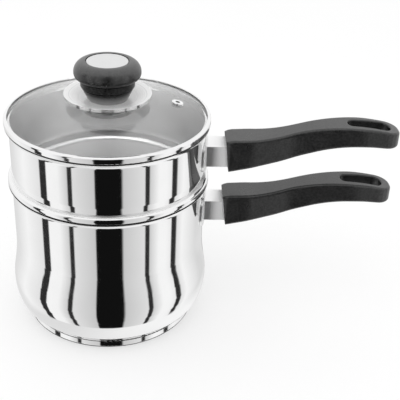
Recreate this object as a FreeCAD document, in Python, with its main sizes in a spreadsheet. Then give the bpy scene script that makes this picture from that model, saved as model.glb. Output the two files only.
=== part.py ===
"""Double boiler: a pot, a pan that rests on its lip and a glass lid, as separate pieces.

Lengths are in millimetres and angles in degrees. The origin is the centre of the
base, +Z is up and both handles point along +X.
"""

import FreeCAD
import Part
import Sketcher

import math
import os
from types import SimpleNamespace

SIZES = {
    # Sheet thicknesses and clearances
    "sheet_wall": 0.8,
    "cap_sheet": 0.6,
    "band_sheet": 0.6,
    "seat_gap": 0.3,
    "fit_gap": 0.3,
    "weld_gap": 0.1,

    # Boiler: wall, belly and sandwich base
    "boiler_wall_radius": 81.1,
    "boiler_lip_height": 128.0,
    "boiler_lip_flare": 3.15,
    "belly_bulge": 3.97,
    "belly_height": 35.7,
    "belly_lower_lean": 22.6,
    "belly_upper_lean": 9.2,
    "belly_upper_curve": 42.0,
    "belly_neck_curve": 130.0,
    "belly_straight": 0.4,
    "foot_height": 14.2,
    "foot_curve": 5.0,
    "foot_straight": 0.3,
    "foot_lean": 55.3,
    "base_step": 3.0,
    "base_step_curve": 1.2,
    "base_edge_curve": 1.0,
    "core_thickness": 6.1,
    "core_margin": 2.6,
    "cap_seam": 0.2,
    "cap_edge_curve": 2.1,

    # The flared lip that boiler and inset share
    "lip_lean": 62.0,
    "lip_edge": 0.4,
    "lip_straight": 0.4,

    # Inset: wall, seating bead, ledge and bowl
    "inset_wall_step": 0.4,
    "inset_lip_flare": 3.4,
    "bead_curve": 3.6,
    "bead_flat": 0.4,
    "bead_side": 0.9,
    "bead_foot_curve": 1.0,
    "neck_depth": 0.5,
    "neck_height": 7.0,
    "neck_curve": 10.0,
    "bowl_clearance": 8.9,
    "bowl_depth": 38.0,
    "bowl_floor_curve": 14.0,
    "bowl_mouth_curve": 3.0,

    # Handle bracket: its top is measured down from the lip
    "bracket_sheet": 1.5,
    "bracket_half_width": 10.5,
    "bracket_top_drop": 19.1,
    "bracket_height": 18.4,
    "flange_half_width": 25.0,
    "flange_above": 6.6,
    "flange_below": 1.4,
    "flange_corner": 10.0,
    "flange_bead_gap": 0.2,
    "tongue_length": 32.0,
    "tongue_height": 10.0,

    # Handle grip, side view: near stations from its start, far ones back from its tip
    "grip_standoff": 16.1,
    "grip_length": 145.8,
    "grip_start_lean": 3.2,
    "grip_brow_length": 5.5,
    "grip_brow_drop": 1.4,
    "grip_brow_curve": 12.0,
    "grip_above_bracket": 6.4,
    "grip_below_bracket": 4.2,
    "grip_top_dip_back": 108.8,
    "grip_top_dip_rise": 1.2,
    "grip_top_dip_curve": 130.0,
    "grip_top_crest_back": 49.8,
    "grip_top_crest_rise": 16.3,
    "grip_top_straight": 7.0,
    "grip_top_tip_lean": 10.7,
    "grip_low_dip_back": 97.6,
    "grip_low_dip_rise": 10.3,
    "grip_low_dip_curve": 150.0,
    "grip_low_crest_back": 45.2,
    "grip_low_crest_rise": 17.0,
    "grip_low_crest_curve": 130.0,
    "grip_low_tip_lean": 4.9,

    # Handle grip, plan view
    "grip_start_wall": 1.4,
    "grip_start_bevel": 3.0,
    "grip_heel_widening": 1.2,
    "grip_heel_curve": 6.0,
    "grip_palm": 20.8,
    "grip_palm_widening": 0.6,
    "grip_palm_curve": 60.0,
    "grip_waist": 59.8,
    "grip_waist_half_width": 10.0,
    "grip_waist_curve": 80.0,
    "grip_head_back": 33.0,
    "grip_head_half_width": 14.2,
    "grip_head_curve": 80.0,
    "grip_tip_half_width": 13.2,
    "grip_tip_flat": 1.2,
    "grip_top_round": 2.5,
    "grip_low_round": 2.5,
    "slot_tip_distance": 8.0,
    "slot_length": 36.0,
    "slot_start_half_width": 5.6,
    "slot_start_flat": 0.6,
    "slot_end_half_width": 8.2,
    "slot_end_flat": 1.2,
    "slot_round": 1.2,

    # Grip screw
    "screw_reach": 18.5,
    "screw_radius": 2.0,
    "screw_head_radius": 4.0,
    "screw_head_height": 2.6,
    "screw_seat_depth": 13.3,

    # Lid: band, glass and vent
    "band_overhang": 0.2,
    "band_headroom": 0.85,
    "band_crown_curve": 2.2,
    "band_foot_curve": 0.8,
    "band_cover": 2.8,
    "skirt_gap": 0.4,
    "skirt_depth": 4.0,
    "glass_rise": 12.6,
    "glass_thickness": 2.8,
    "glass_edge_curve": 0.6,
    "glass_hole_radius": 4.0,
    "dome_straight": 1.0,
    "vent_edge_distance": 26.0,
    "vent_turn": 9.3,
    "vent_flange_radius": 5.0,
    "vent_tube_radius": 3.0,
    "vent_bore_radius": 1.8,
    "vent_flange_sheet": 0.8,
    "vent_gap": 0.15,

    # Knob stack, from the glass upwards
    "gasket_thickness": 1.2,
    "gasket_margin": 4.5,
    "dish_sheet": 0.8,
    "dish_flat_margin": 3.1,
    "dish_width": 16.0,
    "dish_rise": 4.4,
    "dish_rim_height": 2.7,
    "dish_rim_flat": 0.8,
    "dish_curve": 18.0,
    "cone_foot_radius": 16.4,
    "cone_flare": 4.6,
    "cone_height": 9.7,
    "knob_groove_depth": 1.2,
    "knob_groove_height": 0.8,
    "knob_ring_step": 1.0,
    "knob_ring_height": 5.8,
    "knob_ring_flat": 0.3,
    "knob_overhang": 5.1,
    "knob_side_height": 0.8,
    "knob_ledge_flat": 1.6,
    "crown_width": 9.7,
    "crown_flat": 0.8,
    "disc_gap": 0.6,
    "disc_thickness": 0.8,
    "disc_sink": 0.3,
    "disc_edge_curve": 0.4,
    "bush_radius": 5.0,
    "bush_height": 12.0,
    "bush_gap": 0.1,

    # Knob stack, from the glass downwards
    "lower_gasket_radius": 22.0,
    "lower_gasket_thickness": 1.4,
    "lower_gasket_slope": 0.045,
    "cup_sheet": 0.8,
    "cup_inset": 0.8,
    "cup_height": 3.8,
    "cup_edge_curve": 1.0,
    "knob_screw_radius": 2.4,
    "knob_screw_gap": 0.15,
    "knob_screw_head_radius": 5.5,
    "knob_screw_head_height": 2.8,
    "knob_screw_bite": 10.0,
}

doc = FreeCAD.newDocument("double_boiler")
sheet = doc.addObject("Spreadsheet::Sheet", "Sizes")
pieces = []


class Size:
    """A number that also knows the sheet expression that it comes from."""

    def __init__(self, value, text):
        self.value = value
        self.text = text

    def __add__(self, other):
        other = as_size(other)
        return Size(self.value + other.value, f"({self.text} + {other.text})")

    def __sub__(self, other):
        other = as_size(other)
        return Size(self.value - other.value, f"({self.text} - {other.text})")

    def __mul__(self, other):
        other = as_size(other)
        return Size(self.value * other.value, f"({self.text} * {other.text})")

    def __truediv__(self, other):
        other = as_size(other)
        return Size(self.value / other.value, f"({self.text} / {other.text})")

    def __neg__(self):
        return Size(-self.value, f"(0 - {self.text})")


def as_size(number):
    """A Size as it is, or a plain number as a Size."""
    if isinstance(number, Size):
        return number
    return Size(float(number), str(number))


def tan(angle):
    return Size(math.tan(math.radians(angle.value)), f"tan({angle.text})")


def sin(angle):
    return Size(math.sin(math.radians(angle.value)), f"sin({angle.text})")


def cos(angle):
    return Size(math.cos(math.radians(angle.value)), f"cos({angle.text})")


def atan(slope):
    return Size(math.degrees(math.atan(slope.value)), f"(atan({slope.text}) / 1 deg)")


def asin(ratio):
    return Size(math.degrees(math.asin(ratio.value)), f"(asin({ratio.text}) / 1 deg)")


def write_sheet(sizes):
    """Write the driving dimensions into the sheet and return them as named Sizes."""
    named = SimpleNamespace()
    for row, (name, number) in enumerate(sizes.items(), start=1):
        sheet.set(f"A{row}", name)
        sheet.set(f"B{row}", str(number))
        sheet.setAlias(f"B{row}", name)
        setattr(named, name, Size(number, f"Sizes.{name}"))
    return named


size = write_sheet(SIZES)
ZERO = Size(0.0, "0")
RIGHT_ANGLE = Size(90.0, "90")

# Radii that follow from the sizes above
belly_radius = size.boiler_wall_radius + size.belly_bulge
inset_wall_radius = size.boiler_wall_radius - size.inset_wall_step
inset_lip_radius = inset_wall_radius + size.inset_lip_flare
band_radius = inset_lip_radius + size.band_overhang
glass_radius = band_radius - size.band_sheet - size.fit_gap
dome_shoulder = glass_radius / 2
dome_slope = atan(size.glass_rise / (glass_radius - dome_shoulder))

# Heights that follow: the inset's wall has room for bead, neck, bracket flange and rim
floor_underside = size.cap_sheet + size.core_thickness
bead_base = size.boiler_lip_height + size.seat_gap
bead_top = bead_base + size.bead_foot_curve + size.bead_side + size.bead_curve
neck_top = bead_top + size.neck_height
bracket_span = size.bracket_top_drop + size.bracket_height + size.flange_below
inset_lip_height = neck_top + size.flange_bead_gap + bracket_span
band_base = inset_lip_height + size.seat_gap
glass_edge_low = band_base + size.band_sheet + size.fit_gap
glass_edge_top = glass_edge_low + size.glass_thickness / cos(dome_slope)
band_top = glass_edge_top + size.band_headroom + size.band_sheet
glass_top = glass_edge_top + size.glass_rise
glass_underside = glass_top - size.glass_thickness
dish_base = glass_top + size.gasket_thickness
knob_base = dish_base + size.dish_sheet
screw_hole = size.knob_screw_radius + size.knob_screw_gap


def new_body(label):
    """An empty body for one piece, listed for writing."""
    body = doc.addObject("PartDesign::Body", label)
    body.Label = label
    pieces.append(body)
    return body


def new_sketch(body, name, role, offset=None):
    """A sketch on one of the body's own origin planes, raised by offset."""
    sketch = body.newObject("Sketcher::SketchObject", name)
    planes = {feature.Role: feature for feature in body.Origin.OriginFeatures}
    sketch.AttachmentSupport = [(planes[role], "")]
    sketch.MapMode = "FlatFace"
    if offset is not None:
        sketch.setExpression("AttachmentOffset.Base.z", offset.text)
    return sketch


def dimension(sketch, constraint, length):
    """Add a dimensional constraint and bind it to the sheet."""
    index = sketch.addConstraint(constraint)
    name = f"size_{index}"
    sketch.renameConstraint(index, name)
    sketch.setExpression(f"Constraints.{name}", length.text)


def place_point(sketch, geometry, end, x, y):
    """Hold one point of the sketch at (x, y)."""
    for kind, axis, reach in (("DistanceX", -2, x), ("DistanceY", -1, y)):
        if abs(reach.value) < 1e-9:
            sketch.addConstraint(Sketcher.Constraint("PointOnObject", geometry, end, axis))
        elif reach.value > 0:
            dimension(sketch, Sketcher.Constraint(kind, -1, 1, geometry, end, reach.value), reach)
        else:
            dimension(sketch, Sketcher.Constraint(kind, geometry, end, -1, 1, -reach.value), -reach)


def corner_arc(before, corner, after, radius):
    """Arc of a rounded corner, its two ends along the outline and whether it turns left."""
    back = (before - corner).normalize()
    ahead = (after - corner).normalize()
    half = back.getAngle(ahead) / 2
    reach = radius / math.tan(half)
    centre = corner + (back + ahead).normalize() * (radius / math.sin(half))
    start = corner + back * reach
    end = corner + ahead * reach
    turns_left = (corner - before).cross(after - corner).z > 0
    first, last = (start, end) if turns_left else (end, start)
    first_angle = math.atan2(first.y - centre.y, first.x - centre.x)
    last_angle = math.atan2(last.y - centre.y, last.x - centre.x)
    if last_angle < first_angle:
        last_angle += 2 * math.pi
    circle = Part.Circle(centre, FreeCAD.Vector(0, 0, 1), radius)
    return Part.ArcOfCircle(circle, first_angle, last_angle), start, end, turns_left


def outline(sketch, corners):
    """Closed outline through corners (x, y) or, rounded, (x, y, radius)."""
    count = len(corners)
    corners = [tuple(as_size(number) for number in corner) for corner in corners]
    points = [FreeCAD.Vector(corner[0].value, corner[1].value, 0) for corner in corners]
    arcs = {}
    arrives = list(points)
    leaves = list(points)
    for i, corner in enumerate(corners):
        if len(corner) == 3:
            arc, arrives[i], leaves[i], turns_left = corner_arc(
                points[i - 1], points[i], points[(i + 1) % count], corner[2].value)
            arcs[i] = (arc, turns_left)
    lines = []
    for i in range(count):
        line = Part.LineSegment(leaves[i], arrives[(i + 1) % count])
        lines.append(sketch.addGeometry(line, False))
    for i, corner in enumerate(corners):
        incoming = lines[i - 1]
        outgoing = lines[i]
        if i not in arcs:
            sketch.addConstraint(Sketcher.Constraint("Coincident", incoming, 2, outgoing, 1))
            place_point(sketch, outgoing, 1, corner[0], corner[1])
            continue
        arc, turns_left = arcs[i]
        curve = sketch.addGeometry(arc, False)
        start, end = (1, 2) if turns_left else (2, 1)
        sketch.addConstraint(Sketcher.Constraint("Tangent", incoming, 2, curve, start))
        sketch.addConstraint(Sketcher.Constraint("Tangent", curve, end, outgoing, 1))
        dimension(sketch, Sketcher.Constraint("Radius", curve, corner[2].value), corner[2])
        apex = sketch.addGeometry(Part.Point(points[i]), True)
        sketch.addConstraint(Sketcher.Constraint("PointOnObject", apex, 1, incoming))
        sketch.addConstraint(Sketcher.Constraint("PointOnObject", apex, 1, outgoing))
        place_point(sketch, apex, 1, corner[0], corner[1])


def circle(sketch, x, y, radius):
    """A full circle centred at (x, y)."""
    centre = FreeCAD.Vector(x.value, y.value, 0)
    ring = sketch.addGeometry(Part.Circle(centre, FreeCAD.Vector(0, 0, 1), radius.value), False)
    place_point(sketch, ring, 3, x, y)
    dimension(sketch, Sketcher.Constraint("Radius", ring, radius.value), radius)


def feature(body, kind, sketch):
    """A new feature of the body made from the sketch."""
    made = body.newObject(f"PartDesign::{kind}", f"{sketch.Name}_{kind.lower()}")
    made.Profile = sketch
    sketch.Visibility = False
    return made


def revolve(body, sketch, kind="Revolution"):
    """Turn the sketch a full circle round the Z axis."""
    made = feature(body, kind, sketch)
    made.ReferenceAxis = (sketch, ["V_Axis"])
    made.Angle = 360
    return made


def pad_both(body, sketch, width):
    """Pad the sketch by half the width to each side of its plane."""
    made = feature(body, "Pad", sketch)
    made.SideType = "Symmetric"
    made.setExpression("Length", width.text)
    return made


def pocket_both(body, sketch, width):
    """Cut the sketch by half the width to each side of its plane."""
    made = feature(body, "Pocket", sketch)
    made.SideType = "Symmetric"
    made.setExpression("Length", width.text)
    return made


def pocket(body, sketch, depth, upward):
    """Cut the sketch to one side of its plane."""
    made = feature(body, "Pocket", sketch)
    made.Reversed = upward
    made.setExpression("Length", depth.text)
    return made


def turned(label, corners):
    """A piece turned round the Z axis from its half section."""
    body = new_body(label)
    section = new_sketch(body, f"{label}_section", "XZ_Plane")
    outline(section, corners)
    revolve(body, section)
    return body


def lip_corners(wall, flare, lip_height):
    """Half section of a flared lip: up the outside of the wall, over and down the inside."""
    lip_radius = wall + flare
    root = lip_height - size.lip_edge - flare / tan(size.lip_lean)
    outer_curve = (flare / sin(size.lip_lean) - size.lip_straight) / tan(size.lip_lean / 2)
    inner = wall - size.sheet_wall
    inner_root = root + size.sheet_wall * tan(size.lip_lean / 2)
    inner_slant = (lip_height - inner_root) / cos(size.lip_lean)
    inner_curve = (inner_slant - size.lip_straight) / tan(size.lip_lean / 2)
    return [
        (wall, root, outer_curve),
        (lip_radius, lip_height - size.lip_edge),
        (lip_radius, lip_height),
        (inner + (lip_height - inner_root) * tan(size.lip_lean), lip_height),
        (inner, inner_root, inner_curve),
    ]


def inside_of(corner, low_lean, high_lean):
    """The sheet's inner corner opposite an outer one, between two leaning stretches."""
    middle = (low_lean + high_lean) / 2
    depth = size.sheet_wall / cos((low_lean - high_lean) / 2)
    return corner[0] - depth * cos(middle), corner[1] + depth * sin(middle)


# Boiler: a stepped base, a foot that turns out from it and a belly between two leaning stretches
foot_reach = size.foot_curve * tan((size.foot_lean - size.belly_lower_lean) / 2) + size.foot_straight
belly_drop = size.belly_height - size.belly_straight - size.foot_height
lower_reach = (belly_drop - foot_reach * cos(size.belly_lower_lean)) / (cos(size.belly_lower_lean) + 1)
belly_lower_curve = lower_reach / tan(size.belly_lower_lean / 2)
belly_low = size.belly_height - size.belly_straight - lower_reach
upper_reach = size.belly_upper_curve * tan(size.belly_upper_lean / 2)
belly_high = size.belly_height + size.belly_straight + upper_reach
belly_neck = belly_high + size.belly_bulge / tan(size.belly_upper_lean)
step_top = floor_underside + size.base_step
foot_radius = belly_radius - (belly_low - size.foot_height) * tan(size.belly_lower_lean)
base_radius = foot_radius - (size.foot_height - step_top) * tan(size.foot_lean)

base_corner = (base_radius, floor_underside)
step_corner = (base_radius, step_top)
foot_corner = (foot_radius, size.foot_height)
low_corner = (belly_radius, belly_low)
high_corner = (belly_radius, belly_high)
neck_corner = (size.boiler_wall_radius, belly_neck)
boiler_outside = [
    (ZERO, floor_underside),
    base_corner + (size.base_edge_curve,),
    step_corner + (size.base_step_curve,),
    foot_corner + (size.foot_curve,),
    low_corner + (belly_lower_curve,),
    high_corner + (size.belly_upper_curve,),
    neck_corner + (size.belly_neck_curve,),
]
boiler_inner_radius = size.boiler_wall_radius - size.sheet_wall
neck_inside = inside_of(neck_corner, -size.belly_upper_lean, ZERO)
high_inside = inside_of(high_corner, ZERO, -size.belly_upper_lean)
low_inside = inside_of(low_corner, size.belly_lower_lean, ZERO)
foot_inside = inside_of(foot_corner, size.foot_lean, size.belly_lower_lean)
step_inside = inside_of(step_corner, ZERO, size.foot_lean)
boiler_inside = [
    neck_inside + (size.belly_neck_curve + size.sheet_wall,),
    high_inside + (size.belly_upper_curve - size.sheet_wall,),
    low_inside + (belly_lower_curve - size.sheet_wall,),
    foot_inside + (size.foot_curve - size.sheet_wall,),
    step_inside + (size.base_step_curve + size.sheet_wall,),
    inside_of(base_corner, RIGHT_ANGLE, ZERO),
    (ZERO, floor_underside + size.sheet_wall),
]
boiler_lip = lip_corners(size.boiler_wall_radius, size.boiler_lip_flare, size.boiler_lip_height)
turned("boiler_pot", boiler_outside + boiler_lip + boiler_inside)

# Sandwich base: a thick aluminium disc in a thin steel cap, flush with the pot's stepped base
core_radius = base_radius - size.core_margin
turned("boiler_base_core", [
    (ZERO, size.cap_sheet),
    (core_radius, size.cap_sheet),
    (core_radius, floor_underside),
    (ZERO, floor_underside),
])
cap_top = floor_underside - size.cap_seam
turned("boiler_base_cap", [
    (ZERO, ZERO),
    (base_radius, ZERO, size.cap_edge_curve),
    (base_radius, cap_top),
    (base_radius - size.cap_sheet, cap_top),
    (base_radius - size.cap_sheet, size.cap_sheet, size.cap_edge_curve - size.cap_sheet),
    (ZERO, size.cap_sheet),
])

# Inset: the bead seats on the boiler's lip and the bowl hangs below it
neck_radius = inset_wall_radius - size.neck_depth
bead_radius = neck_radius + size.bead_curve + size.bead_flat
bowl_radius = boiler_inner_radius - size.bowl_clearance
bowl_base = bead_base - size.bowl_depth
inset_outside = [
    (ZERO, bowl_base),
    (bowl_radius, bowl_base, size.bowl_floor_curve),
    (bowl_radius, bead_base, size.bowl_mouth_curve),
    (bead_radius, bead_base, size.bead_foot_curve),
    (bead_radius, bead_top, size.bead_curve),
    (neck_radius, bead_top),
    (inset_wall_radius, neck_top, size.neck_curve),
]
bead_inner_radius = bead_radius - size.sheet_wall
bowl_inner_radius = bowl_radius - size.sheet_wall
inset_inside = [
    (inset_wall_radius - size.sheet_wall, neck_top, size.neck_curve),
    (neck_radius - size.sheet_wall, bead_top - size.sheet_wall),
    (bead_inner_radius, bead_top - size.sheet_wall, size.bead_curve - size.sheet_wall),
    (bead_inner_radius, bead_base + size.sheet_wall),
    (bowl_inner_radius, bead_base + size.sheet_wall, size.bowl_mouth_curve + size.sheet_wall),
    (bowl_inner_radius, bowl_base + size.sheet_wall, size.bowl_floor_curve - size.sheet_wall),
    (ZERO, bowl_base + size.sheet_wall),
]
inset_lip = lip_corners(inset_wall_radius, size.inset_lip_flare, inset_lip_height)
turned("inset_pan", inset_outside + inset_lip + inset_inside)


# Handles: the bracket's tongue goes into the grip, and a screw from below holds it
grip_start = size.boiler_wall_radius + size.grip_standoff
grip_tip = grip_start + size.grip_length
grip_start_height = size.grip_above_bracket + size.bracket_height + size.grip_below_bracket
tongue_end = grip_start + size.tongue_length
screw_x = grip_start + size.screw_reach


def grip_face(depth):
    """X of the grip's leaning near end, at a depth below the bracket's top."""
    return grip_start + size.grip_start_lean * (depth + size.grip_above_bracket) / grip_start_height


def make_bracket(label, wall, lip_height):
    """Folded channel with a flange that follows the wall and a shorter tongue."""
    body = new_body(label)
    top = lip_height - size.bracket_top_drop
    bottom = top - size.bracket_height
    tongue_bottom = top - size.tongue_height
    inner = wall + size.weld_gap
    outer = inner + size.bracket_sheet
    far = outer * 2

    plate = new_sketch(body, f"{label}_plate", "YZ_Plane")
    outline(plate, [
        (-size.flange_half_width, bottom - size.flange_below, size.flange_corner),
        (size.flange_half_width, bottom - size.flange_below, size.flange_corner),
        (size.flange_half_width, top + size.flange_above, size.flange_corner),
        (-size.flange_half_width, top + size.flange_above, size.flange_corner),
    ])
    sheet_pad = feature(body, "Pad", plate)
    sheet_pad.setExpression("Length", outer.text)

    channel = new_sketch(body, f"{label}_channel", "XZ_Plane")
    outline(channel, [
        (inner / 2, bottom),
        (grip_face(size.bracket_height) - size.fit_gap, bottom),
        (grip_face(size.tongue_height) - size.fit_gap, tongue_bottom),
        (tongue_end, tongue_bottom),
        (tongue_end, top),
        (inner / 2, top),
    ])

    trim = new_sketch(body, f"{label}_trim", "XZ_Plane")
    outline(trim, [
        (outer, bottom - size.bracket_height),
        (far, bottom - size.bracket_height),
        (far, top + size.bracket_height),
        (outer, top + size.bracket_height),
    ])
    revolve(body, trim, "Groove")
    pad_both(body, channel, size.bracket_half_width * 2)

    hollow = new_sketch(body, f"{label}_hollow", "XZ_Plane")
    outline(hollow, [
        (inner / 2, bottom - size.bracket_height),
        (tongue_end + size.bracket_height, bottom - size.bracket_height),
        (tongue_end + size.bracket_height, top - size.bracket_sheet),
        (inner / 2, top - size.bracket_sheet),
    ])
    pocket_both(body, hollow, (size.bracket_half_width - size.bracket_sheet) * 2)

    seat = new_sketch(body, f"{label}_seat", "XZ_Plane")
    outline(seat, [
        (ZERO, bottom - size.bracket_height),
        (inner, bottom - size.bracket_height),
        (inner, top + size.bracket_height),
        (ZERO, top + size.bracket_height),
    ])
    revolve(body, seat, "Groove")

    thread = new_sketch(body, f"{label}_thread", "XY_Plane", top)
    circle(thread, screw_x, ZERO, size.screw_radius + size.fit_gap / 2)
    pocket(body, thread, size.bracket_sheet * 2, False)


def long_edges(shape, upward):
    """Names of the edges where the top (or bottom) meets upright faces."""
    names = []
    for index, edge in enumerate(shape.Edges, 1):
        middle = edge.valueAt((edge.FirstParameter + edge.LastParameter) / 2)
        tilts = []
        for face in shape.ancestorsOfType(edge, Part.Face):
            across, along = face.Surface.parameter(middle)
            tilts.append(face.normalAt(across, along))
        lifts = sorted((normal.z for normal in tilts), key=abs)
        flank = min(tilts, key=lambda normal: abs(normal.z))
        if abs(lifts[0]) < 0.1 and abs(lifts[1]) > 0.8 and (lifts[1] > 0) == upward and flank.x > -0.9:
            names.append(f"Edge{index}")
    return names


def round_edges(body, base, name, upward, radius):
    """Round the sharp upper or lower edges of the grip, but for its near end."""
    doc.recompute()
    rounding = body.newObject("PartDesign::Fillet", name)
    rounding.Base = (base, long_edges(base.Shape, upward))
    rounding.setExpression("Radius", radius.text)
    return rounding


def make_grip(label, lip_height):
    """Moulded grip: a side view padded, cut to its plan view and rounded."""
    body = new_body(label)
    top = lip_height - size.bracket_top_drop
    start_half_width = size.bracket_half_width + size.fit_gap + size.grip_start_wall
    heel_half_width = start_half_width + size.grip_heel_widening
    palm_half_width = heel_half_width + size.grip_palm_widening
    block = palm_half_width * 2

    upper_start = top + size.grip_above_bracket
    upper_dip = upper_start + size.grip_top_dip_rise
    upper_crest = upper_dip + size.grip_top_crest_rise
    lower_start = upper_start - grip_start_height
    lower_dip = lower_start + size.grip_low_dip_rise
    lower_crest = lower_dip + size.grip_low_crest_rise
    dip_run = size.grip_length - size.grip_top_dip_back - size.grip_brow_length
    crest_run = size.grip_top_dip_back - size.grip_top_crest_back
    climb = atan(size.grip_top_crest_rise / crest_run)
    dip_bend = climb - atan(size.grip_top_dip_rise / dip_run)
    crest_bend = climb + size.grip_top_tip_lean
    dip_reach = size.grip_top_dip_curve * tan(dip_bend / 2)
    crest_reach = crest_run / cos(climb) - size.grip_top_straight - dip_reach
    crest_curve = crest_reach / tan(crest_bend / 2)
    beyond_tip = size.grip_tip_half_width
    upper_fall = (size.grip_top_crest_back + beyond_tip) * tan(size.grip_top_tip_lean)
    lower_fall = (size.grip_low_crest_back + beyond_tip) * tan(size.grip_low_tip_lean)
    side = new_sketch(body, f"{label}_side", "XZ_Plane")
    outline(side, [
        (grip_start, upper_start - size.grip_brow_drop),
        (grip_start + size.grip_start_lean, lower_start),
        (grip_tip - size.grip_low_dip_back, lower_dip, size.grip_low_dip_curve),
        (grip_tip - size.grip_low_crest_back, lower_crest, size.grip_low_crest_curve),
        (grip_tip + beyond_tip, lower_crest - lower_fall),
        (grip_tip + beyond_tip, upper_crest - upper_fall),
        (grip_tip - size.grip_top_crest_back, upper_crest, crest_curve),
        (grip_tip - size.grip_top_dip_back, upper_dip, size.grip_top_dip_curve),
        (grip_start + size.grip_brow_length, upper_start, size.grip_brow_curve),
    ])
    pad_both(body, side, block * 2)

    plan = new_sketch(body, f"{label}_plan", "XY_Plane")
    outline(plan, [
        (grip_start - block, -block * 2),
        (grip_tip + block, -block * 2),
        (grip_tip + block, block * 2),
        (grip_start - block, block * 2),
    ])
    tip_curve = size.grip_tip_half_width - size.grip_tip_flat
    flank = [
        (grip_start, start_half_width),
        (grip_start + size.grip_start_bevel, heel_half_width, size.grip_heel_curve),
        (grip_start + size.grip_palm, palm_half_width, size.grip_palm_curve),
        (grip_start + size.grip_waist, size.grip_waist_half_width, size.grip_waist_curve),
        (grip_tip - size.grip_head_back, size.grip_head_half_width, size.grip_head_curve),
        (grip_tip, size.grip_tip_half_width, tip_curve),
    ]
    mirrored = [(corner[0], -corner[1]) + corner[2:] for corner in flank]
    outline(plan, flank + mirrored[::-1])
    trimmed = pocket_both(body, plan, (lip_height + block) * 2)

    rounded = round_edges(body, trimmed, f"{label}_top_round", True, size.grip_top_round)
    round_edges(body, rounded, f"{label}_low_round", False, size.grip_low_round)

    slot = new_sketch(body, f"{label}_slot", "XY_Plane")
    slot_end = grip_tip - size.slot_tip_distance
    slot_start = slot_end - size.slot_length
    slot_start_curve = size.slot_start_half_width - size.slot_start_flat
    slot_end_curve = size.slot_end_half_width - size.slot_end_flat
    outline(slot, [
        (slot_start, -size.slot_start_half_width, slot_start_curve),
        (slot_end, -size.slot_end_half_width, slot_end_curve),
        (slot_end, size.slot_end_half_width, slot_end_curve),
        (slot_start, size.slot_start_half_width, slot_start_curve),
    ])
    slotted = pocket_both(body, slot, (lip_height + block) * 2)
    round_edges(body, slotted, f"{label}_slot_round", True, size.slot_round)

    tongue_outer = size.bracket_half_width + size.fit_gap
    tongue_inner = size.bracket_half_width - size.bracket_sheet - size.fit_gap
    tongue_bottom = top - size.tongue_height - size.fit_gap
    tongue_roof = top - size.bracket_sheet - size.fit_gap
    socket = new_sketch(body, f"{label}_socket", "YZ_Plane", tongue_end + size.fit_gap)
    outline(socket, [
        (-tongue_outer, tongue_bottom),
        (-tongue_inner, tongue_bottom),
        (-tongue_inner, tongue_roof),
        (tongue_inner, tongue_roof),
        (tongue_inner, tongue_bottom),
        (tongue_outer, tongue_bottom),
        (tongue_outer, top + size.fit_gap),
        (-tongue_outer, top + size.fit_gap),
    ])
    pocket(body, socket, size.tongue_length * 2, False)

    seat = top - size.screw_seat_depth
    bore = new_sketch(body, f"{label}_bore", "XY_Plane", seat)
    circle(bore, screw_x, ZERO, size.screw_radius + size.fit_gap)
    pocket(body, bore, top - seat, True)
    recess = new_sketch(body, f"{label}_recess", "XY_Plane", seat)
    circle(recess, screw_x, ZERO, size.screw_head_radius + size.fit_gap)
    pocket(body, recess, block, False)


def make_grip_screw(label, lip_height):
    """Pan-head screw standing head down under the grip."""
    tip = lip_height - size.bracket_top_drop
    seat = tip - size.screw_seat_depth - size.fit_gap
    body = turned(label, [
        (ZERO, seat - size.screw_head_height),
        (size.screw_head_radius, seat - size.screw_head_height, size.screw_head_height / 2),
        (size.screw_head_radius, seat),
        (size.screw_radius, seat),
        (size.screw_radius, tip),
        (ZERO, tip),
    ])
    body.setExpression("Placement.Base.x", screw_x.text)


for owner, wall, lip_height in (
    ("boiler", size.boiler_wall_radius, size.boiler_lip_height),
    ("inset", inset_wall_radius, inset_lip_height),
):
    make_bracket(f"{owner}_handle_bracket", wall, lip_height)
    make_grip(f"{owner}_handle_grip", lip_height)
    make_grip_screw(f"{owner}_handle_screw", lip_height)

# Lid band: a channel round the glass edge with a skirt that centres it in the inset's mouth
skirt_radius = inset_wall_radius - size.sheet_wall - size.skirt_gap
band_inner = band_radius - size.band_sheet
turned("lid_rim_band", [
    (skirt_radius - size.band_sheet, band_base - size.skirt_depth),
    (skirt_radius, band_base - size.skirt_depth),
    (skirt_radius, band_base),
    (band_radius, band_base, size.band_foot_curve),
    (band_radius, band_top, size.band_crown_curve),
    (band_radius - size.band_cover, band_top),
    (band_radius - size.band_cover, band_top - size.band_sheet),
    (band_inner, band_top - size.band_sheet, size.band_crown_curve - size.band_sheet),
    (band_inner, band_base + size.band_sheet),
    (skirt_radius - size.band_sheet, band_base + size.band_sheet),
])

# Glass: the dome's faces are wide arcs with one centre, between the flat middle and the sloping edge
dome_reach = dome_shoulder - size.glass_hole_radius - size.dome_straight
dome_curve = dome_reach / tan(dome_slope / 2)
under_shoulder = dome_shoulder - size.glass_thickness * tan(dome_slope / 2)
glass_dome = turned("glass_dome", [
    (size.glass_hole_radius, glass_underside),
    (under_shoulder, glass_underside, dome_curve - size.glass_thickness),
    (glass_radius, glass_edge_low, size.glass_edge_curve),
    (glass_radius, glass_edge_top, size.glass_edge_curve),
    (dome_shoulder, glass_top, dome_curve),
    (size.glass_hole_radius, glass_top),
])
pieces.remove(glass_dome)

# Vent: an eyelet through the glass, square to its face
vent_distance = glass_radius - size.vent_edge_distance
vent_run = vent_distance - (dome_shoulder - dome_reach)
vent_tilt = asin(vent_run / dome_curve)
vent_height = glass_top - dome_curve + dome_curve * cos(vent_tilt)


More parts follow.
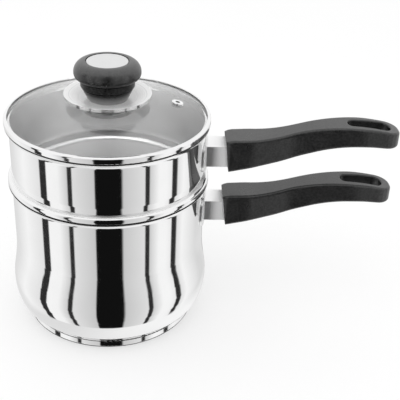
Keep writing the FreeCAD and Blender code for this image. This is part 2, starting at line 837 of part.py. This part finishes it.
def stand_on_dome(piece, sink):
    """Move a piece from the origin onto the glass at the vent, square to it and sunk into it."""
    turn = math.radians(size.vent_turn.value)
    axis = FreeCAD.Vector(-math.sin(turn), math.cos(turn), 0)
    piece.Placement = FreeCAD.Placement(FreeCAD.Vector(), FreeCAD.Rotation(axis, vent_tilt.value))
    distance = vent_distance - sink * sin(vent_tilt)
    piece.setExpression("Placement.Base.x", (distance * cos(size.vent_turn)).text)
    piece.setExpression("Placement.Base.y", (distance * sin(size.vent_turn)).text)
    piece.setExpression("Placement.Base.z", (vent_height - sink * cos(vent_tilt)).text)
    piece.setExpression("Placement.Rotation.Angle", vent_tilt.text)


vent_hole = doc.addObject("Part::Cylinder", "vent_hole")
vent_hole.setExpression("Radius", (size.vent_tube_radius + size.vent_gap).text)
vent_hole.setExpression("Height", (size.glass_thickness * 4).text)
stand_on_dome(vent_hole, size.glass_thickness * 2)
lid_glass = doc.addObject("Part::Cut", "lid_glass")
lid_glass.Base = glass_dome
lid_glass.Tool = vent_hole
lid_glass.Label = "lid_glass"
pieces.append(lid_glass)

vent_low = -(size.glass_thickness + size.vent_gap)
vent_eyelet = turned("lid_vent_eyelet", [
    (size.vent_bore_radius, vent_low - size.vent_flange_sheet),
    (size.vent_flange_radius, vent_low - size.vent_flange_sheet),
    (size.vent_flange_radius, vent_low),
    (size.vent_tube_radius, vent_low),
    (size.vent_tube_radius, size.vent_gap),
    (size.vent_flange_radius, size.vent_gap),
    (size.vent_flange_radius, size.vent_gap + size.vent_flange_sheet, size.vent_flange_sheet / 2),
    (size.vent_bore_radius, size.vent_gap + size.vent_flange_sheet),
])
stand_on_dome(vent_eyelet, ZERO)

# Knob stack above the glass
dish_flat_radius = size.cone_foot_radius + size.dish_flat_margin
dish_radius = dish_flat_radius + size.dish_width
gasket_radius = dish_flat_radius - size.gasket_margin
turned("knob_upper_gasket", [
    (screw_hole, glass_top),
    (gasket_radius, glass_top),
    (gasket_radius, dish_base),
    (screw_hole, dish_base),
])
dish_top = knob_base + size.dish_rise
turned("knob_dish", [
    (screw_hole, dish_base),
    (dish_flat_radius, dish_base, size.dish_curve),
    (dish_radius, dish_top - size.dish_rim_height),
    (dish_radius, dish_top),
    (dish_radius - size.dish_rim_flat, dish_top),
    (dish_flat_radius, knob_base, size.dish_curve),
    (screw_hole, knob_base),
])

cone_top = knob_base + size.cone_height
ring_low = cone_top + size.knob_groove_height
ring_top = ring_low + size.knob_ring_height
head_low = ring_top + size.knob_groove_height
cone_top_radius = size.cone_foot_radius + size.cone_flare
cone_groove_radius = cone_top_radius - size.knob_groove_depth
ring_radius = cone_top_radius + size.knob_ring_step
ring_groove_radius = ring_radius - size.knob_groove_depth
knob_radius = ring_radius + size.knob_overhang
knob_ring_curve = size.knob_groove_depth - size.knob_ring_flat
disc_recess_radius = knob_radius - size.crown_width
disc_radius = disc_recess_radius - size.disc_gap
crown_curve = size.crown_width - size.crown_flat
ledge_curve = knob_radius - ring_groove_radius - size.knob_ledge_flat
knob_top = head_low + ledge_curve + size.knob_side_height + crown_curve
disc_top = knob_top - size.disc_sink
bush_top = knob_base + size.bush_height
turned("knob_body", [
    (size.bush_radius + size.bush_gap, knob_base),
    (size.cone_foot_radius, knob_base),
    (cone_top_radius, cone_top),
    (cone_groove_radius, cone_top),
    (cone_groove_radius, ring_low),
    (ring_radius, ring_low, knob_ring_curve),
    (ring_radius, ring_top, knob_ring_curve),
    (ring_groove_radius, ring_top),
    (ring_groove_radius, head_low),
    (knob_radius, head_low, ledge_curve),
    (knob_radius, knob_top, crown_curve),
    (disc_recess_radius, knob_top),
    (disc_recess_radius, disc_top - size.disc_thickness),
    (ZERO, disc_top - size.disc_thickness),
    (ZERO, bush_top + size.bush_gap),
    (size.bush_radius + size.bush_gap, bush_top + size.bush_gap),
])
turned("knob_cap_disc", [
    (ZERO, disc_top - size.disc_thickness),
    (disc_radius, disc_top - size.disc_thickness),
    (disc_radius, disc_top, size.disc_edge_curve),
    (ZERO, disc_top),
])
turned("knob_bush", [
    (screw_hole, knob_base),
    (size.bush_radius, knob_base),
    (size.bush_radius, bush_top),
    (screw_hole, bush_top),
])

# Knob stack below the glass: the gasket's upper face slopes with the underside of the dome
lower_gasket_edge = glass_underside - size.lower_gasket_radius * size.lower_gasket_slope
cup_top = lower_gasket_edge - size.lower_gasket_thickness
cup_radius = size.lower_gasket_radius - size.cup_inset
cup_base = cup_top - size.cup_height
turned("knob_lower_gasket", [
    (screw_hole, cup_top),
    (size.lower_gasket_radius, cup_top),
    (size.lower_gasket_radius, lower_gasket_edge),
    (screw_hole, glass_underside - screw_hole * size.lower_gasket_slope),
])
turned("knob_retainer_cup", [
    (screw_hole, cup_top - size.cup_sheet),
    (cup_radius - size.cup_sheet, cup_top - size.cup_sheet),
    (cup_radius - size.cup_sheet, cup_base),
    (cup_radius, cup_base),
    (cup_radius, cup_top, size.cup_edge_curve),
    (screw_hole, cup_top),
])
screw_seat = cup_top - size.cup_sheet
screw_head_base = screw_seat - size.knob_screw_head_height
turned("knob_screw", [
    (ZERO, screw_head_base),
    (size.knob_screw_head_radius, screw_head_base, size.knob_screw_head_height / 2),
    (size.knob_screw_head_radius, screw_seat),
    (size.knob_screw_radius, screw_seat),
    (size.knob_screw_radius, knob_base + size.knob_screw_bite),
    (ZERO, knob_base + size.knob_screw_bite),
])

doc.recompute()

# Every feature must have worked, and every cut must have taken something away
for item in doc.Objects:
    if "Invalid" in item.State or "Error" in item.State:
        raise RuntimeError(f"{item.Name} did not build: {item.State}")
    if item.TypeId in ("PartDesign::Pocket", "PartDesign::Groove"):
        if item.Shape.Volume > item.BaseFeature.Shape.Volume - 0.01:
            raise RuntimeError(f"{item.Name} cut nothing")
for piece in pieces:
    if piece.Shape.isNull() or not piece.Shape.isValid() or len(piece.Shape.Solids) != 1:
        raise RuntimeError(f"{piece.Label} is not one valid solid")

os.makedirs("parts", exist_ok=True)
for piece in pieces:
    piece.Shape.exportStep(f"parts/{piece.Label}.step")
    box = piece.Shape.optimalBoundingBox(False)
    print(f"{piece.Label}: {piece.Shape.Volume / 1000:.2f} cm3, z {box.ZMin:.2f} to {box.ZMax:.2f}")
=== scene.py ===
"""Studio scene of the double boiler: its finishes, a pale floor, soft light and the camera.

Lengths are in metres and angles in degrees, in the part's own frame: the origin is the
centre of the base, +Z is up and both handles point along +X. A tone is a grey level from
0, black, to 1, white.
"""

import math

import bpy
from mathutils import Matrix, Vector

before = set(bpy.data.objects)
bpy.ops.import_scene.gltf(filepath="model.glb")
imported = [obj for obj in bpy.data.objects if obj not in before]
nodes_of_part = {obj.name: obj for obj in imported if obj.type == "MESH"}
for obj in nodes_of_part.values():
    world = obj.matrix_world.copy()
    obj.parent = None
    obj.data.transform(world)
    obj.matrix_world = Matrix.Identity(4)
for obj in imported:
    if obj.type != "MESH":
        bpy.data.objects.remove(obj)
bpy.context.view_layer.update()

# Camera, as seen from the front with the handles to the right; lens and sensor in millimetres
CAMERA_EYE = Vector((0.04035, -0.62169, 0.46033))
CAMERA_PITCH = 29.770
CAMERA_TURN = -3.5
CAMERA_ROLL = 2.592
CAMERA_LENS = 74.04
CAMERA_SENSOR = 36.0
CAMERA_NEAREST = 0.01
CAMERA_FARTHEST = 50.0

# Lamp overhead: its place, the point that it faces, its width and its power in watts
SOFTBOX_PLACE = Vector((-0.2, -0.3, 1.4))
SOFTBOX_TARGET = Vector((0.0, 0.0, 0.1))
SOFTBOX_WIDTH = 1.2
SOFTBOX_POWER = 4.0

# Studio: pale panels round the object, each a row of azimuths with the tone there. Azimuths
# count from the front towards the handles. The gaps between the panels are dark, most of all
# the one at the front, and one more gap lies at the back, beyond an azimuth on both sides. A
# panel fades over a narrow edge at its ends
PANELS = (
    ((-180.0, 0.64), (-141.0, 0.80), (-113.0, 0.99), (-84.0, 0.84)),
    ((-73.3, 1.0), (-58.0, 0.98), (-45.5, 0.66)),
    ((-39.7, 0.80), (-13.4, 0.62)),
    ((18.3, 0.62), (45.5, 0.80)),
    ((51.0, 0.66), (64.0, 1.0), (74.0, 1.0), (82.5, 0.90)),
    ((90.1, 0.80), (101.0, 1.0), (126.0, 0.80), (134.0, 0.73), (180.0, 0.68)),
)
PANEL_EDGE = 0.15
GAP_TONE = 0.03
FRONT_TONE = 0.006
BACK_GAP = 168.0

# Where the panels end, at floor and ceiling: the tones beyond, on the left and on the right, and
# the elevations of the edge at the front and at the back
FLOOR = (0.79, 1.0, -52.0, -36.0)
CEILING = (1.0, 1.0, 48.0, -18.0)

# These edges are hazy at the back and crisp at the front, and the left tone turns into the right
# one, each between two places on the unit sphere
HAZE = (0.1, 0.01)
HAZE_PLACES = (-0.6, 0.2)
TONE_PLACES = (-0.5, 0.5)

# Floor under the object, and its share of plain white for the camera, which keeps the shadow faint
FLOOR_HALF = 4.0
FLOOR_GLOW = 0.55

# Dark card under the base and a little wider than it, which only polished faces show: a painted
# contact shadow that the base's lower edge mirrors as a dark line
CARD_RADIUS = 0.0752
CARD_HEIGHT = 0.0001
CARD_CORNERS = 96

# Range that most of a noise's values lie in
NOISE_RANGE = (0.3, 0.7)

# Painted shade in the gaps where the pan sits on the pot and the lid on the pan, laid on the
# outward faces of the lips: the middle height and half the width of each band, the least radius,
# how much the faces look outwards, and the tone of the shade
SHADED_GAPS = ((0.1275, 0.0016), (0.1797, 0.0011))
GAP_SHADE_RADIUS = 0.0818
GAP_SHADE_FACING = 0.3
GAP_SHADE_TONE = 0.03

# Inside of pot, pan and saucer: how much more its faces look up than outwards, how much its walls
# look outwards, and the walls' tones, painted light in the bowl and painted shade above the pan's
# ledge, which change between two heights
INSIDE_FACING = (0.3, 0.7)
WALL_FACING = (-0.9, -0.4)
LEDGE_HEIGHTS = (0.132, 0.136)
LIT_BOWL_TONE = 0.98
SHADED_WALL_TONE = 0.8

# Brackets: the stretch along X over which they turn from polished to brushed
BRUSHED_STRETCH = (0.086, 0.098)

# Painted reflection of the dish, grey on the knob's foot: how high it goes and its tone at the
# bottom; above it, the heights over the foot between which the knob turns from dull to polished,
# and its shine there
DISH_REFLECTION_HEIGHT = 0.008
DISH_REFLECTION_TONE = 0.33
CROWN_HEIGHTS = (0.018, 0.032)
CROWN_SHINE = (0.14, 0.9)


class Nodes:
    """Short ways to add and join the nodes of one tree."""

    def __init__(self, tree):
        self.tree = tree

    def add(self, kind, **settings):
        node = self.tree.nodes.new(kind)
        for name, value in settings.items():
            setattr(node, name, value)
        return node

    def join(self, value, target):
        """Give an input its value: the output of another node, or a plain value."""
        if isinstance(value, bpy.types.NodeSocket):
            self.tree.links.new(value, target)
        else:
            target.default_value = value

    def feed(self, node, *values):
        """Give a node's first inputs their values, in order."""
        for value, target in zip(values, node.inputs):
            self.join(value, target)
        return node

    def shade(self, values):
        """Give inputs of the Principled shader their values, by name."""
        shader = self.tree.nodes["Principled BSDF"]
        for name, value in values.items():
            self.join(value, shader.inputs[name])

    def place(self):
        """Where a point lies on its piece, in the part's own frame."""
        return self.add("ShaderNodeTexCoord").outputs["Object"]

    def split(self, vector):
        """The X, Y and Z of a vector."""
        return tuple(self.feed(self.add("ShaderNodeSeparateXYZ"), vector).outputs)

    def math(self, operation, *values):
        return self.feed(self.add("ShaderNodeMath", operation=operation), *values).outputs[0]

    def vector(self, operation, *values):
        return self.feed(self.add("ShaderNodeVectorMath", operation=operation), *values).outputs

    def span(self, value, low, high, new_low=0.0, new_high=1.0):
        """Map a value from one range to another, held at its ends."""
        node = self.add("ShaderNodeMapRange")
        return self.feed(node, value, low, high, new_low, new_high).outputs[0]

    def spread(self, noise, low, high):
        """Map a noise so that most of its values lie between two ends, held there."""
        return self.span(noise, *NOISE_RANGE, low, high)

    def between(self, factor, first, second):
        """A number between two, by a factor from 0 to 1."""
        return self.span(factor, 0.0, 1.0, first, second)

    def noise(self, vector, scale, detail=2.0):
        node = self.add("ShaderNodeTexNoise")
        self.join(vector, node.inputs["Vector"])
        self.join(scale, node.inputs["Scale"])
        self.join(detail, node.inputs["Detail"])
        return node.outputs["Fac"]

    def mixed(self, factor, first, second):
        """A colour between two, by a factor from 0 to 1."""
        node = self.add("ShaderNodeMix", data_type="RGBA")
        self.join(factor, node.inputs["Factor"])
        self.join(first, node.inputs["A"])
        self.join(second, node.inputs["B"])
        return node.outputs["Result"]

    def bump(self, height, strength, distance):
        node = self.add("ShaderNodeBump")
        self.join(strength, node.inputs["Strength"])
        self.join(distance, node.inputs["Distance"])
        self.join(height, node.inputs["Height"])
        return node.outputs["Normal"]


def grey(tone):
    return (tone, tone, tone, 1.0)


def new_material(name):
    """A material with a Principled shader, and its nodes."""
    material = bpy.data.materials.new(name)
    material.use_nodes = True
    return material, Nodes(material.node_tree)


def radius_and_height(nodes, place):
    """Distance from the Z axis, and height above the base."""
    x, y, z = nodes.split(place)
    squares = nodes.math("ADD", nodes.math("POWER", x, 2.0), nodes.math("POWER", y, 2.0))
    return nodes.math("SQRT", squares), z


def turned_marks(nodes, place, scale):
    """Noise drawn out into rings round the Z axis, as spinning and polishing leave it."""
    rings = nodes.feed(nodes.add("ShaderNodeCombineXYZ"), *radius_and_height(nodes, place))
    return nodes.noise(rings.outputs[0], scale, detail=4.0)


def outward_and_up(nodes, place):
    """How much a face looks away from the Z axis, and how much it looks up."""
    facing = nodes.add("ShaderNodeNewGeometry").outputs["Normal"]
    flat = nodes.vector("MULTIPLY", place, (1.0, 1.0, 0.0))["Vector"]
    radial = nodes.vector("NORMALIZE", flat)["Vector"]
    outward = nodes.vector("DOT_PRODUCT", facing, radial)["Value"]
    return outward, nodes.split(facing)[2]


def gap_shade_mask(nodes, radius, height, outward):
    """1 where shade is painted on the lips, in the gaps where one piece meets the next, else 0."""
    wide = nodes.math("GREATER_THAN", radius, GAP_SHADE_RADIUS)
    outside = nodes.math("MULTIPLY", wide, nodes.math("GREATER_THAN", outward, GAP_SHADE_FACING))
    bands = [nodes.math("COMPARE", height, *edge) for edge in SHADED_GAPS]
    return nodes.math("MULTIPLY", outside, nodes.math("MAXIMUM", *bands))


def steel(name, gloss, satin=None, matt=0.0, tone=0.9):
    """Polished steel; where satin is given, its inside is brushed to it, or blasted matt."""
    material, nodes = new_material(name)
    place = nodes.place()
    radius, height = radius_and_height(nodes, place)
    outward, up = outward_and_up(nodes, place)
    marks = turned_marks(nodes, place, scale=2600.0)
    colour = nodes.mixed(nodes.noise(place, scale=45.0), grey(tone - 0.02), grey(tone + 0.03))
    rough = nodes.spread(nodes.noise(place, scale=160.0, detail=5.0), gloss, gloss + 0.03)
    metal = 1.0
    if satin is not None:
        inside = nodes.span(nodes.math("SUBTRACT", up, outward), *INSIDE_FACING)
        rough = nodes.between(inside, rough, nodes.spread(marks, satin - 0.06, satin + 0.06))
        metal = nodes.between(inside, 1.0, 1.0 - matt)
        # Painted light on the inner walls below the pan's ledge, painted shade on them above it
        wall = nodes.span(outward, *WALL_FACING, 1.0, 0.0)
        colour = nodes.mixed(wall, colour, nodes.span(height, *LEDGE_HEIGHTS, LIT_BOWL_TONE, SHADED_WALL_TONE))
    # Painted shade in the gaps where the pan sits on the pot and the lid on the pan
    gap_shade = gap_shade_mask(nodes, radius, height, outward)
    nodes.shade({
        "Base Color": nodes.mixed(gap_shade, colour, grey(GAP_SHADE_TONE)),
        "Metallic": metal,
        "Roughness": rough,
        "Normal": nodes.bump(marks, strength=0.012, distance=0.00002),
    })
    return material


def bracket_steel():
    """Folded steel, polished at the wall's side and brushed towards the grip."""
    material, nodes = new_material("bracket_steel")
    place = nodes.place()
    brush = nodes.noise(place, scale=700.0, detail=4.0)
    brushed = nodes.span(nodes.split(place)[0], *BRUSHED_STRETCH)
    rough = nodes.between(brushed, 0.32, 0.78)
    nodes.shade({
        "Base Color": nodes.mixed(brush, grey(0.92), grey(0.97)),
        "Metallic": nodes.between(brushed, 1.0, 0.7),
        "Roughness": nodes.math("ADD", rough, nodes.spread(brush, -0.03, 0.03)),
        "Normal": nodes.bump(brush, strength=0.03, distance=0.00002),
    })
    return material


def phenolic(name, foot=None):
    """Black moulded phenolic, satin and grained; a knob has a painted grey dish reflection at its
    foot, shine on top.
    """
    material, nodes = new_material(name)
    place = nodes.place()
    grain = nodes.noise(place, scale=650.0, detail=3.0)
    patches = nodes.noise(place, scale=55.0, detail=4.0)
    colour = nodes.mixed(nodes.span(grain, 0.35, 0.65), grey(0.003), grey(0.021))
    if foot is not None:
        height = nodes.split(place)[2]
        # Painted reflection of the dish, grey at the knob's foot
        dish_reflection = nodes.span(height, foot + DISH_REFLECTION_HEIGHT, foot)
        colour = nodes.mixed(dish_reflection, colour, grey(DISH_REFLECTION_TONE))
        crown = [foot + above_foot for above_foot in CROWN_HEIGHTS]
        nodes.shade({"Specular IOR Level": nodes.span(height, *crown, *CROWN_SHINE)})
    nodes.shade({
        "Base Color": colour,
        "Roughness": nodes.spread(patches, 0.26, 0.34),
        "IOR": 1.68,
        "Normal": nodes.bump(grain, strength=0.12, distance=0.0001),
    })
    return material


def tempered_glass():
    """Clear lid glass with the faint unevenness of tempering."""
    material, nodes = new_material("tempered_glass")
    waves = nodes.noise(nodes.place(), scale=30.0)
    nodes.shade({
        "Base Color": nodes.mixed(waves, grey(0.985), grey(0.995)),
        "Roughness": nodes.spread(waves, 0.0, 0.02),
        "Normal": nodes.bump(waves, strength=0.02, distance=0.0002),
        "Transmission Weight": 1.0,
        "IOR": 1.5,
    })
    return material


def silicone():
    """Grey silicone gasket, slightly waxy."""
    material, nodes = new_material("silicone")
    cast = nodes.noise(nodes.place(), scale=300.0, detail=3.0)
    nodes.shade({
        "Base Color": nodes.mixed(cast, grey(0.42), grey(0.5)),
        "Roughness": nodes.spread(cast, 0.45, 0.6),
        "Normal": nodes.bump(cast, strength=0.1, distance=0.0001),
    })
    return material


def machined(name, dark, pale):
    """Plain turned metal for the pieces that stay hidden inside."""
    material, nodes = new_material(name)
    marks = turned_marks(nodes, nodes.place(), scale=1500.0)
    nodes.shade({
        "Base Color": nodes.mixed(marks, dark, pale),
        "Metallic": 1.0,
        "Roughness": nodes.spread(marks, 0.25, 0.4),
        "Normal": nodes.bump(marks, strength=0.15, distance=0.00005),
    })
    return material


def dress(material, *names):
    """Give a material to nodes of the part."""
    for name in names:
        for slot in nodes_of_part[name].material_slots:
            slot.material = material


dress(steel("polished_steel", gloss=0.035, satin=0.34), "boiler_pot", "inset_pan")
dress(
    steel("polished_trim", gloss=0.045),
    "boiler_base_cap", "lid_rim_band", "lid_vent_eyelet", "knob_retainer_cup",
)
dress(steel("dish_steel", gloss=0.045, satin=0.3, matt=0.75), "knob_dish")
dress(bracket_steel(), "boiler_handle_bracket", "inset_handle_bracket")
dress(steel("screw_steel", gloss=0.3), "boiler_handle_screw", "inset_handle_screw", "knob_screw")
dress(steel("satin_disc", gloss=0.28, tone=0.76), "knob_cap_disc")
dress(phenolic("grip_phenolic"), "boiler_handle_grip", "inset_handle_grip")
knob_foot = min(corner[2] for corner in nodes_of_part["knob_body"].bound_box)
dress(phenolic("knob_phenolic", knob_foot), "knob_body")
dress(tempered_glass(), "lid_glass")
dress(silicone(), "knob_upper_gasket", "knob_lower_gasket")
dress(machined("rolled_aluminium", grey(0.6), grey(0.7)), "boiler_base_core")
dress(machined("brass", (0.6, 0.42, 0.16, 1.0), (0.75, 0.55, 0.25, 1.0)), "knob_bush")
nodes_of_part["lid_glass"].visible_shadow = False


def flat_piece(name, corners, material):
    """A piece of the stage with one flat face."""
    mesh = bpy.data.meshes.new(name)
    mesh.from_pydata(corners, [], [tuple(range(len(corners)))])
    mesh.materials.append(material)
    piece = bpy.data.objects.new(name, mesh)
    bpy.context.scene.collection.objects.link(piece)
    return piece


def make_floor():
    """A wide pale floor that keeps the soft shadow of the object."""
    material, nodes = new_material("pale_floor")
    unevenness = nodes.noise(nodes.place(), scale=8.0)
    nodes.shade({"Base Color": nodes.mixed(unevenness, grey(0.92), grey(0.94)), "Roughness": 0.9})
    seen = nodes.add("ShaderNodeLightPath").outputs["Is Camera Ray"]
    glow = nodes.add("ShaderNodeEmission")
    plain = nodes.tree.nodes["Principled BSDF"]
    blend = nodes.add("ShaderNodeMixShader")
    nodes.feed(blend, nodes.math("MULTIPLY", seen, FLOOR_GLOW), plain.outputs[0], glow.outputs[0])
    nodes.join(blend.outputs[0], nodes.tree.nodes["Material Output"].inputs["Surface"])
    signs = ((-1.0, -1.0), (1.0, -1.0), (1.0, 1.0), (-1.0, 1.0))
    floor = flat_piece("floor", [(FLOOR_HALF * x, FLOOR_HALF * y, 0.0) for x, y in signs], material)
    floor.visible_glossy = False


def make_shadow_card():
    """A dark disc under the base, a painted contact shadow that the base's lower edge shows as a
    dark line.
    """
    material, nodes = new_material("painted_contact_shadow")
    unevenness = nodes.noise(nodes.place(), scale=40.0)
    # Dark colour of the painted contact shadow
    nodes.shade({"Base Color": nodes.mixed(unevenness, grey(0.03), grey(0.05)), "Roughness": 0.9})
    rim = []
    for number in range(CARD_CORNERS):
        turn = 2.0 * math.pi * number / CARD_CORNERS
        rim.append((CARD_RADIUS * math.cos(turn), CARD_RADIUS * math.sin(turn), CARD_HEIGHT))
    card = flat_piece("card", rim, material)
    card.visible_camera = False
    card.visible_diffuse = False
    card.visible_shadow = False


def fill_with_panels(ramp):
    """Give a ramp the panels' tones, by azimuth as a share of a full turn."""
    stops = [*PANELS[-1][1:-1]]
    for panel, following in zip(PANELS, PANELS[1:]):
        (end, end_tone), (start, start_tone) = panel[-1], following[0]
        dark = FRONT_TONE if end < 0.0 < start else GAP_TONE
        stops += panel[1:-1]
        stops += [(end - PANEL_EDGE, end_tone), (end + PANEL_EDGE, dark)]
        stops += [(start - PANEL_EDGE, dark), (start + PANEL_EDGE, start_tone)]
    elements = ramp.color_ramp.elements
    for azimuth, tone in stops:
        elements.new(0.5 + azimuth / 360.0).color = grey(tone)
    elements[0].color = grey(PANELS[0][0][1])
    elements[-1].color = grey(PANELS[-1][-1][1])


def studio_tone(nodes):
    """Tone of the studio in a direction: panels and gaps, with the floor below and a ceiling."""
    x, y, z = nodes.split(nodes.add("ShaderNodeTexCoord").outputs["Generated"])
    front = nodes.math("MULTIPLY", y, -1.0)
    azimuth = nodes.math("ARCTAN2", x, front)
    ramp = nodes.add("ShaderNodeValToRGB")
    fill_with_panels(ramp)
    nodes.join(nodes.span(azimuth, -math.pi, math.pi), ramp.inputs["Fac"])
    gap_edge = (math.radians(BACK_GAP - PANEL_EDGE), math.radians(BACK_GAP + PANEL_EDGE))
    in_gap = nodes.span(nodes.math("ABSOLUTE", azimuth), *gap_edge)
    tone = nodes.mixed(in_gap, ramp.outputs["Color"], grey(GAP_TONE))
    haze = nodes.span(front, *HAZE_PLACES, *HAZE)
    to_right = nodes.span(x, *TONE_PLACES)
    for (left, right, *elevations), side in ((FLOOR, -1.0), (CEILING, 1.0)):
        # The edge lies in a plane that passes through its elevations at front and back
        near, far = (math.radians(elevation) for elevation in elevations)
        slope = (math.sin(far) - math.sin(near)) / (math.cos(far) + math.cos(near))
        limit = math.sin(near) + slope * math.cos(near)
        height = nodes.math("ADD", z, nodes.math("MULTIPLY", front, slope))
        above = nodes.math("SUBTRACT", height, limit)
        beyond = nodes.math("DIVIDE", above, nodes.math("MULTIPLY", haze, side))
        plain = nodes.mixed(to_right, grey(left), grey(right))
        tone = nodes.mixed(nodes.span(beyond, -1.0, 1.0), tone, plain)
    return tone


def make_world():
    """White all round; metal and glass show the studio instead."""
    world = bpy.data.worlds.new("studio")
    bpy.context.scene.world = world
    world.use_nodes = True
    world.node_tree.nodes.clear()
    nodes = Nodes(world.node_tree)
    white = nodes.feed(nodes.add("ShaderNodeBackground"), grey(1.0))
    studio = nodes.feed(nodes.add("ShaderNodeBackground"), studio_tone(nodes))
    rays = nodes.add("ShaderNodeLightPath").outputs
    mirrored = nodes.math("MAXIMUM", rays["Is Glossy Ray"], rays["Is Transmission Ray"])
    choice = nodes.add("ShaderNodeMixShader")
    nodes.feed(choice, mirrored, white.outputs[0], studio.outputs[0])
    nodes.join(choice.outputs[0], nodes.add("ShaderNodeOutputWorld").inputs["Surface"])


def make_softbox():
    """One large lamp overhead, which the polished faces do not mirror."""
    lamp = bpy.data.lights.new("softbox", "AREA")
    lamp.shape = "DISK"
    lamp.size = SOFTBOX_WIDTH
    lamp.energy = SOFTBOX_POWER
    box = bpy.data.objects.new("softbox", lamp)
    box.location = SOFTBOX_PLACE
    box.rotation_euler = (SOFTBOX_TARGET - SOFTBOX_PLACE).to_track_quat("-Z", "Y").to_euler()
    box.visible_glossy = False
    bpy.context.scene.collection.objects.link(box)


def make_camera():
    """The camera of the picture: looking down a little, turned to the handles' side."""
    data = bpy.data.cameras.new("camera")
    data.lens = CAMERA_LENS
    data.sensor_width = CAMERA_SENSOR
    data.clip_start = CAMERA_NEAREST
    data.clip_end = CAMERA_FARTHEST
    camera = bpy.data.objects.new("camera", data)
    turn = Matrix.Rotation(math.radians(CAMERA_TURN), 4, "Z")
    tilt = Matrix.Rotation(math.radians(90.0 - CAMERA_PITCH), 4, "X")
    roll = Matrix.Rotation(math.radians(CAMERA_ROLL), 4, "Z")
    camera.matrix_world = Matrix.Translation(CAMERA_EYE) @ turn @ tilt @ roll
    bpy.context.scene.collection.objects.link(camera)
    bpy.context.scene.camera = camera


make_floor()
make_shadow_card()
make_world()
make_softbox()
make_camera()
bpy.context.scene.view_settings.view_transform = "Standard"
